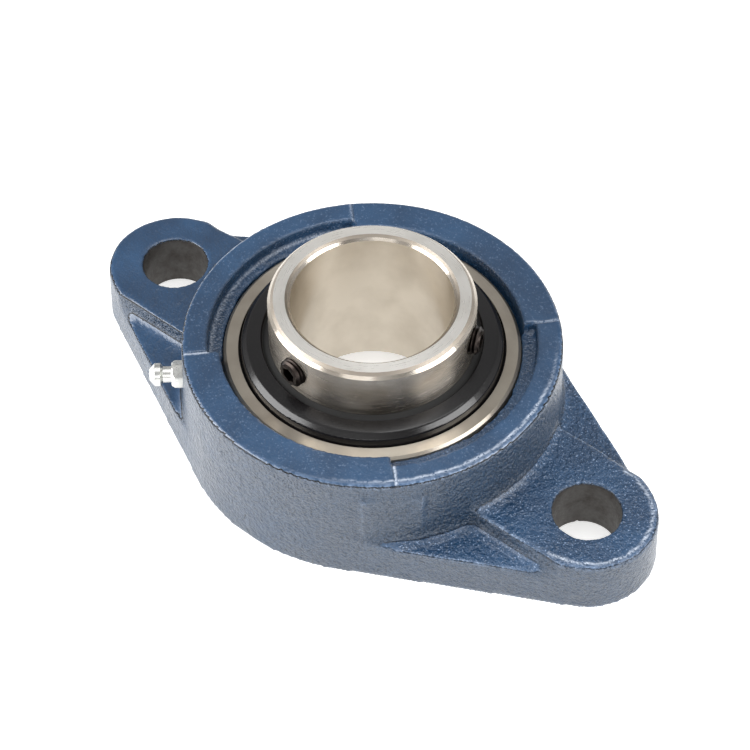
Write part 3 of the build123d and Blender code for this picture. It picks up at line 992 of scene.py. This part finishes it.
# -------------------------------------------------------------------------------- studio
@dataclass
class Studio:
    """A white table, soft lamps and the camera. Directions are seen from the camera's side."""

    azimuth: float = 38.39  # degrees from the -Y axis towards +X
    elevation: float = 49.25
    target: tuple[float, float, float] = (0.50, 0.54, 19.69)
    distance: float = 697.78
    lens: float = 119.1
    floor_colour: str = "#f4f4f3"
    floor_glow: float = 0.66
    floor_reach: float = 15.0  # metres from the bearing to the table's edges
    surround: float = 0.6
    # soft panels round the room: degrees to the right of the camera, and how bright
    panels: tuple[tuple[float, float], ...] = (
        (-180, 1.05),
        (-135, 0.4),
        (-115, 1.3),
        (-80, 1.5),
        (-58, 0.7),
        (-35, 1.3),
        (5, 1.2),
        (28, 0.35),
        (50, 0.5),
        (72, 1.6),
        (98, 1.4),
        (125, 0.4),
        (180, 1.05),
    )

    def build(self) -> None:
        """Builds the floor, the lamps, the surround and the camera."""
        self.floor()
        self.surroundings()
        self.camera()
        self.lamp("left_lamp", -80, 22, 1.1, 0.9, 19.0)
        self.lamp("right_lamp", 66, 28, 1.1, 0.7, 11.0)
        self.lamp("top_lamp", 150, 82, 1.2, 0.7, 4.5)
        self.lamp("front_lamp", -14, 28, 1.3, 0.6, 2.5)

    def direction(self, turn: float, height: float) -> Vector:
        """The direction to a point, by degrees to the right of the camera and above the table."""
        angle, rise = radians(self.azimuth + turn), radians(height)
        return Vector((sin(angle) * cos(rise), -cos(angle) * cos(rise), sin(rise)))

    def floor(self) -> None:
        """Lays the white table just under the housing's back face."""
        mesh = bpy.data.meshes.new("table")
        reach, top = self.floor_reach, -0.05 * MM
        corners = [(-reach, -reach), (reach, -reach), (reach, reach), (-reach, reach)]
        mesh.from_pydata([(x, y, top) for x, y in corners], [], [(0, 1, 2, 3)])
        table = bpy.data.objects.new("table", mesh)
        bpy.context.scene.collection.objects.link(table)
        material, tree, shader = new_material("white_acrylic_sheet")
        place = add_node(tree, "TexCoord").outputs["Object"]
        haze = add_node(tree, "TexNoise", {"Vector": place, "Scale": 12.0})
        rough = stretch(tree, haze.outputs["Fac"], 0.3, 0.7, 0.6, 0.7)
        tree.links.new(rough, shader.inputs["Roughness"])
        shader.inputs["Base Color"].default_value = linear(self.floor_colour)
        shader.inputs["Emission Color"].default_value = linear(self.floor_colour)
        shader.inputs["Emission Strength"].default_value = self.floor_glow
        mesh.materials.append(material)

    def surroundings(self) -> None:
        """Fills the room with soft white light, brighter where a panel stands."""
        world = bpy.data.worlds.new("studio")
        world.use_nodes = True
        tree = world.node_tree
        background = tree.nodes["Background"]
        background.inputs["Strength"].default_value = self.surround
        place = add_node(tree, "TexCoord").outputs["Generated"]
        facing = (0.0, 0.0, radians(90 - self.azimuth))
        level = add_node(tree, "Mapping", {"Vector": place, "Rotation": facing})
        parts = add_node(tree, "SeparateXYZ", {0: level.outputs[0]})
        angle = {0: parts.outputs[1], 1: parts.outputs[0]}
        turn = add_node(tree, "Math", angle, operation="ARCTAN2")
        share = stretch(tree, turn.outputs[0], -radians(180), radians(180))
        panels = add_node(tree, "ValToRGB", {"Fac": share})
        panels.color_ramp.interpolation = "B_SPLINE"
        stops = panels.color_ramp.elements
        while len(stops) < len(self.panels):
            stops.new(0.5)
        for stop, (azimuth, light) in zip(stops, self.panels):
            stop.position = (azimuth + 180) / 360
            stop.color = (light, light, light, 1.0)
        tree.links.new(panels.outputs[0], background.inputs["Color"])
        bpy.context.scene.world = world

    def lamp(
        self, name: str, turn: float, height: float, away: float, size: float, power: float
    ) -> None:
        """Hangs one soft lamp that looks at the bearing.

        Args:
            name: the lamp's name.
            turn: degrees to the right of the camera.
            height: degrees above the table.
            away: metres from the bearing.
            size: the width of the lamp, in metres.
            power: its power, in watts.
        """
        data = bpy.data.lights.new(name, "AREA")
        data.shape = "SQUARE"
        data.size = size
        data.energy = power
        lamp = bpy.data.objects.new(name, data)
        bpy.context.scene.collection.objects.link(lamp)
        towards = self.direction(turn, height)
        lamp.location = Vector(self.target) * MM + towards * away
        lamp.rotation_euler = towards.to_track_quat("Z", "Y").to_euler()

    def camera(self) -> None:
        """Sets up the camera, level and without shift."""
        data = bpy.data.cameras.new("camera")
        data.lens = self.lens
        data.sensor_width = 36.0
        data.clip_start = 0.01
        camera = bpy.data.objects.new("camera", data)
        bpy.context.scene.collection.objects.link(camera)
        towards = self.direction(0, self.elevation)
        camera.location = Vector(self.target) * MM + towards * self.distance * MM
        camera.rotation_euler = towards.to_track_quat("Z", "Y").to_euler()
        bpy.context.scene.camera = camera


def main() -> None:
    """Builds the studio, then each sub-assembly."""
    logging.basicConfig(level=logging.INFO, format="%(name)s: %(message)s")
    bpy.context.scene.view_settings.view_transform = "Standard"
    Studio().build()
    log.info("studio: table, lamps and camera")
    casting = CastHousing().build(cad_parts["housing"])
    log.info("%s: %d faces", casting.name, len(casting.data.polygons))
    BearingInsert().dress()
    spring = GreaseNipple().build(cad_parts["nipple_spring"])
    log.info("%s: %d faces", spring.name, len(spring.data.polygons))


if __name__ == "__main__":
    main()
